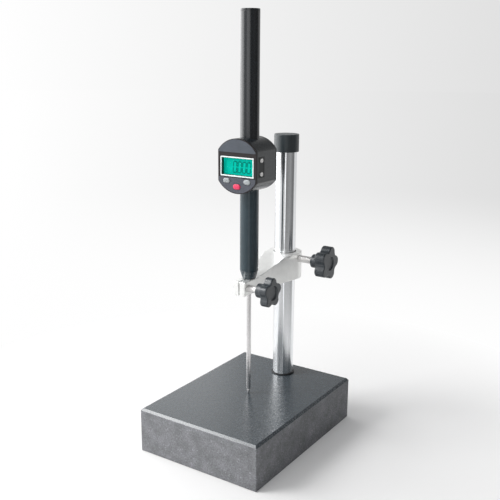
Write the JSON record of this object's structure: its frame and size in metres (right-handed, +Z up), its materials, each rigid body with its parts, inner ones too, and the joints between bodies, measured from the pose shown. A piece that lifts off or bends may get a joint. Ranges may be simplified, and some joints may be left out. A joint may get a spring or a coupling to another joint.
{
  "type": "digital height gauge",
  "caption": "Digital height gauge: a long-travel digital indicator clamped on an arm that slides and swings on a chrome column over a granite plate.",
  "frame": {"origin": "centre of the granite plate's underside", "axes": "+Z up along the column and the spindle, -Y towards the display's reader, +X to the reader's right, where the clamp knobs are"},
  "size_m": [0.15, 0.2, 0.4651],
  "materials": {
    "granite": "ground and polished top, matt speckled sides",
    "chrome": "polished hard chrome",
    "steel": "ground steel",
    "stud_steel": "bright zinc plate",
    "seat_rubber": "black rubber",
    "cap_plastic": "black moulded plastic",
    "sleeve_nylon": "dark nylon",
    "arm_aluminium": "satin cast and milled",
    "knob_plastic": "black moulded phenolic, semi-gloss",
    "brass": "turned",
    "tube_black": "black anodised, semi-gloss",
    "case_black": "black moulded plastic, fine satin",
    "face_grey": "charcoal printed panel",
    "frame_white": "white moulded frame",
    "window_clear": "clear acrylic",
    "display_green": "lit teal liquid crystal display",
    "board_green": "glass-epoxy laminate",
    "port_plastic": "black moulded plastic",
    "cell_steel": "pressed stainless can",
    "button_grey": "light grey silicone",
    "button_red": "red silicone"
  },
  "bodies": {
    "stand": {"granite_base": "granite", "column_bolt": "steel", "bolt_washer": "steel", "seat_ring": "seat_rubber", "column": "chrome", "column_cap": "cap_plastic"},
    "sleeve": {"column_sleeve": "sleeve_nylon"},
    "arm": {"arm": "arm_aluminium"},
    "front_screw": {"front_stud": "stud_steel"},
    "front_knob": {"front_knob": "knob_plastic"},
    "rear_screw": {"rear_stud": "stud_steel", "rear_pad": "brass"},
    "rear_knob": {"rear_knob": "knob_plastic"},
    "indicator": {"stem": "steel", "stem_bush": "brass", "bump_ring": "seat_rubber", "nose_cone": "tube_black", "lower_tube": "tube_black", "upper_tube": "tube_black", "tube_plug": "tube_black", "head_case": "case_black", "face_panel": "face_grey", "back_cover": "case_black", "back_screws": "steel", "display_frame": "frame_white", "display_window": "window_clear", "display_panel": "display_green", "backlight": "frame_white", "main_board": "board_green", "board_screws": "steel", "reading_head": "board_green", "button_pad": "button_grey", "data_socket": "port_plastic", "port_cover": "port_plastic", "port_screws": "steel", "cell_holder": "sleeve_nylon", "coin_cell": "cell_steel", "battery_door": "case_black", "return_spring": "steel"},
    "left_button": {"left_button": "button_grey"},
    "right_button": {"right_button": "button_grey"},
    "red_button": {"red_button": "button_red"},
    "spindle": {"spindle": "steel", "contact_point": "steel", "stop_collar": "brass", "scale_strip": "board_green", "carriage": "sleeve_nylon", "guide_pin": "steel"}
  },
  "joints": [
    {"name": "arm_lift", "type": "slide", "parent": "stand", "child": "sleeve", "axis": [0, 0, 1], "range_m": [0, 0.114]},
    {"name": "arm_swing", "type": "hinge", "parent": "sleeve", "child": "arm", "pos_m": [0, 0.0725, 0.185], "axis": [0, 0, 1], "continuous": true},
    {"name": "front_screw_advance", "type": "slide", "parent": "arm", "child": "front_screw", "axis": [1, 0, 0], "range_m": [0, 0.0025]},
    {"name": "front_knob_turn", "type": "hinge", "parent": "front_screw", "child": "front_knob", "pos_m": [0, -0.0135, 0.17775], "axis": [1, 0, 0], "range_deg": [0, 720]},
    {"name": "rear_screw_advance", "type": "slide", "parent": "arm", "child": "rear_screw", "axis": [1, 0, 0], "range_m": [0, 0.0025]},
    {"name": "rear_knob_turn", "type": "hinge", "parent": "rear_screw", "child": "rear_knob", "pos_m": [0, 0.0725, 0.194], "axis": [1, 0, 0], "range_deg": [0, 720]},
    {"name": "indicator_turn", "type": "hinge", "parent": "arm", "child": "indicator", "pos_m": [0, -0.002, 0.18], "axis": [0, 0, 1], "continuous": true},
    {"name": "spindle_lift", "type": "slide", "parent": "indicator", "child": "spindle", "axis": [0, 0, 1], "range_m": [0, 0.1], "stiffness_N_per_m": 10, "springref_m": -0.1, "deforming": ["return_spring"]},
    {"name": "left_button_press", "type": "slide", "parent": "indicator", "child": "left_button", "axis": [0, 1, 0], "range_m": [0, 0.0008], "stiffness_N_per_m": 400, "springref_m": -0.001},
    {"name": "right_button_press", "type": "slide", "parent": "indicator", "child": "right_button", "axis": [0, 1, 0], "range_m": [0, 0.0008], "stiffness_N_per_m": 400, "springref_m": -0.001},
    {"name": "red_button_press", "type": "slide", "parent": "indicator", "child": "red_button", "axis": [0, 1, 0], "range_m": [0, 0.0008], "stiffness_N_per_m": 400, "springref_m": -0.001}
  ],
  "couplings": [
    {"joint": "front_knob_turn", "follows": "front_screw_advance", "rad_per_m": 5026.5},
    {"joint": "rear_knob_turn", "follows": "rear_screw_advance", "rad_per_m": 5026.5}
  ]
}
